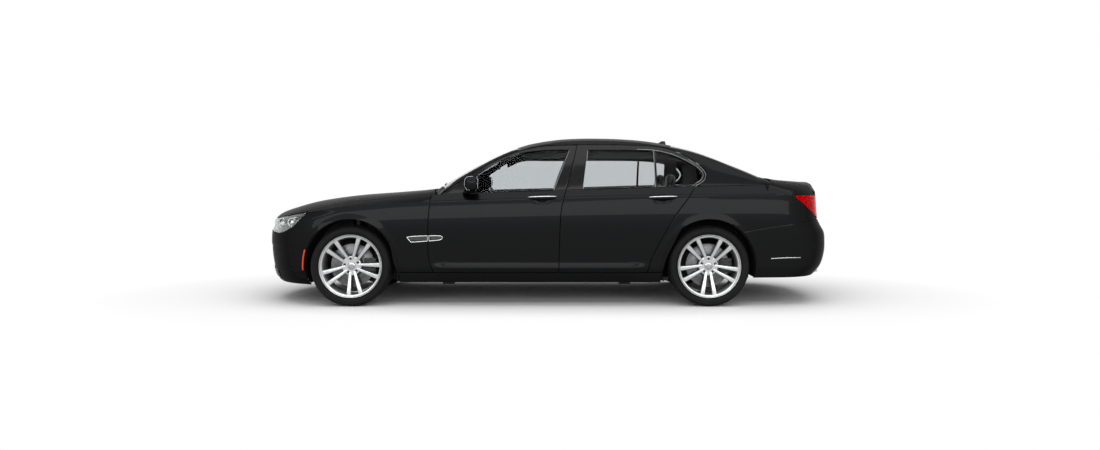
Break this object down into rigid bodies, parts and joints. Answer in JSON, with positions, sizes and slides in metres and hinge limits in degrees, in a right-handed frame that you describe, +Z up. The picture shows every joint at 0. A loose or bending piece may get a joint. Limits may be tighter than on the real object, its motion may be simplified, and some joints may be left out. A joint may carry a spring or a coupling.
{
  "type": "luxury sedan",
  "caption": "Full-size luxury saloon with opening doors, bonnet and boot lid, steered front wheels and turning road wheels on a hollow body with a furnished cabin.",
  "frame": {"origin": "on the ground under the middle of the car", "axes": "+X to the rear, +Y to the car's right side, +Z up"},
  "size_m": [5.0798, 2.107, 1.4714],
  "materials": {
    "paint": "gloss metallic paint",
    "chassis": "matt",
    "glass": "lightly tinted",
    "trim": "gloss black",
    "chrome": "polished",
    "lamp_clear": "clear lens",
    "lamp_red": "red lens",
    "alloy": "silver painted",
    "tyre": "matt",
    "disc": "machined",
    "steel": "satin",
    "carrier": "cast",
    "leather": "grained",
    "dash": "grained",
    "engine": "cast"
  },
  "bodies": {
    "body": {"floor_pan": "chassis", "bulkhead": "chassis", "hinge_posts": "chassis", "lid_brackets": "chassis", "front_rails": "chassis", "bumper_beams": "chassis", "boot_floor": "chassis", "boot_walls": "chassis", "sills": "paint", "front_wings": "paint", "rear_quarters": "paint", "upper_sides": "paint", "roof_panel": "paint", "cowl": "trim", "windscreen": "glass", "rear_window": "glass", "front_bumper": "paint", "rear_bumper": "paint", "grille": "chrome", "headlamps": "lamp_clear", "tail_lamps": "lamp_red", "front_suspension": "steel", "rear_suspension": "steel", "engine": "engine", "exhaust": "steel", "dashboard": "dash", "front_seats": "leather", "rear_seat": "leather"},
    "steering_wheel": {"steering_wheel": "dash"},
    "bonnet": {"bonnet": "paint"},
    "boot_lid": {"boot_lid": "paint"},
    "front_left_door": {"door_front_left": "paint", "glass_front_left": "glass", "mirror_left": "paint"},
    "front_left_wheel": {"tyre_front_left": "tyre", "rim_front_left": "alloy", "disc_front_left": "disc"},
    "front_right_door": {"door_front_right": "paint", "glass_front_right": "glass", "mirror_right": "paint"},
    "front_right_wheel": {"tyre_front_right": "tyre", "rim_front_right": "alloy", "disc_front_right": "disc"},
    "rear_left_door": {"door_rear_left": "paint", "glass_rear_left": "glass"},
    "rear_left_wheel": {"tyre_rear_left": "tyre", "rim_rear_left": "alloy", "disc_rear_left": "disc"},
    "rear_right_door": {"door_rear_right": "paint", "glass_rear_right": "glass"},
    "rear_right_wheel": {"tyre_rear_right": "tyre", "rim_rear_right": "alloy", "disc_rear_right": "disc"},
    "left_knuckle": {"knuckle_left": "carrier"},
    "right_knuckle": {"knuckle_right": "carrier"}
  },
  "joints": [
    {"name": "bonnet_hinge", "type": "hinge", "parent": "body", "child": "bonnet", "pos_m": [-0.93, 0, 0.958], "axis": [0, 1, 0], "range_deg": [0, 50]},
    {"name": "boot_lid_hinge", "type": "hinge", "parent": "body", "child": "boot_lid", "pos_m": [1.975, 0, 1.075], "axis": [0, -1, 0], "range_deg": [0, 80]},
    {"name": "front_left_door_hinge", "type": "hinge", "parent": "body", "child": "front_left_door", "pos_m": [-0.923, -0.91365, 0.635], "axis": [0, 0, -1], "range_deg": [0, 65]},
    {"name": "rear_left_door_hinge", "type": "hinge", "parent": "body", "child": "rear_left_door", "pos_m": [0.216, -0.91817, 0.635], "axis": [0, 0, -1], "range_deg": [0, 65]},
    {"name": "front_right_door_hinge", "type": "hinge", "parent": "body", "child": "front_right_door", "pos_m": [-0.923, 0.91365, 0.635], "axis": [0, 0, 1], "range_deg": [0, 65]},
    {"name": "rear_right_door_hinge", "type": "hinge", "parent": "body", "child": "rear_right_door", "pos_m": [0.216, 0.91817, 0.635], "axis": [0, 0, 1], "range_deg": [0, 65]},
    {"name": "steering_wheel_turn", "type": "hinge", "parent": "body", "child": "steering_wheel", "pos_m": [-0.43, -0.38, 0.84], "axis": [0.9135, 0, 0.4067], "range_deg": [-528, 528]},
    {"name": "steer_left", "type": "hinge", "parent": "body", "child": "left_knuckle", "pos_m": [-1.6715, -0.7455, 0.345], "axis": [0, 0, 1], "range_deg": [-33, 33]},
    {"name": "steer_right", "type": "hinge", "parent": "body", "child": "right_knuckle", "pos_m": [-1.6715, 0.7455, 0.345], "axis": [0, 0, 1], "range_deg": [-33, 33]},
    {"name": "front_left_wheel_spin", "type": "hinge", "parent": "left_knuckle", "child": "front_left_wheel", "pos_m": [-1.6715, -0.8055, 0.345], "axis": [0, 1, 0], "continuous": true},
    {"name": "front_right_wheel_spin", "type": "hinge", "parent": "right_knuckle", "child": "front_right_wheel", "pos_m": [-1.6715, 0.8055, 0.345], "axis": [0, 1, 0], "continuous": true},
    {"name": "rear_left_wheel_spin", "type": "hinge", "parent": "body", "child": "rear_left_wheel", "pos_m": [1.3985, -0.8105, 0.345], "axis": [0, 1, 0], "continuous": true},
    {"name": "rear_right_wheel_spin", "type": "hinge", "parent": "body", "child": "rear_right_wheel", "pos_m": [1.3985, 0.8105, 0.345], "axis": [0, 1, 0], "continuous": true}
  ],
  "couplings": [
    {"joint": "steer_left", "follows": "steering_wheel_turn", "ratio": 0.0625},
    {"joint": "steer_right", "follows": "steering_wheel_turn", "ratio": 0.0625}
  ]
}
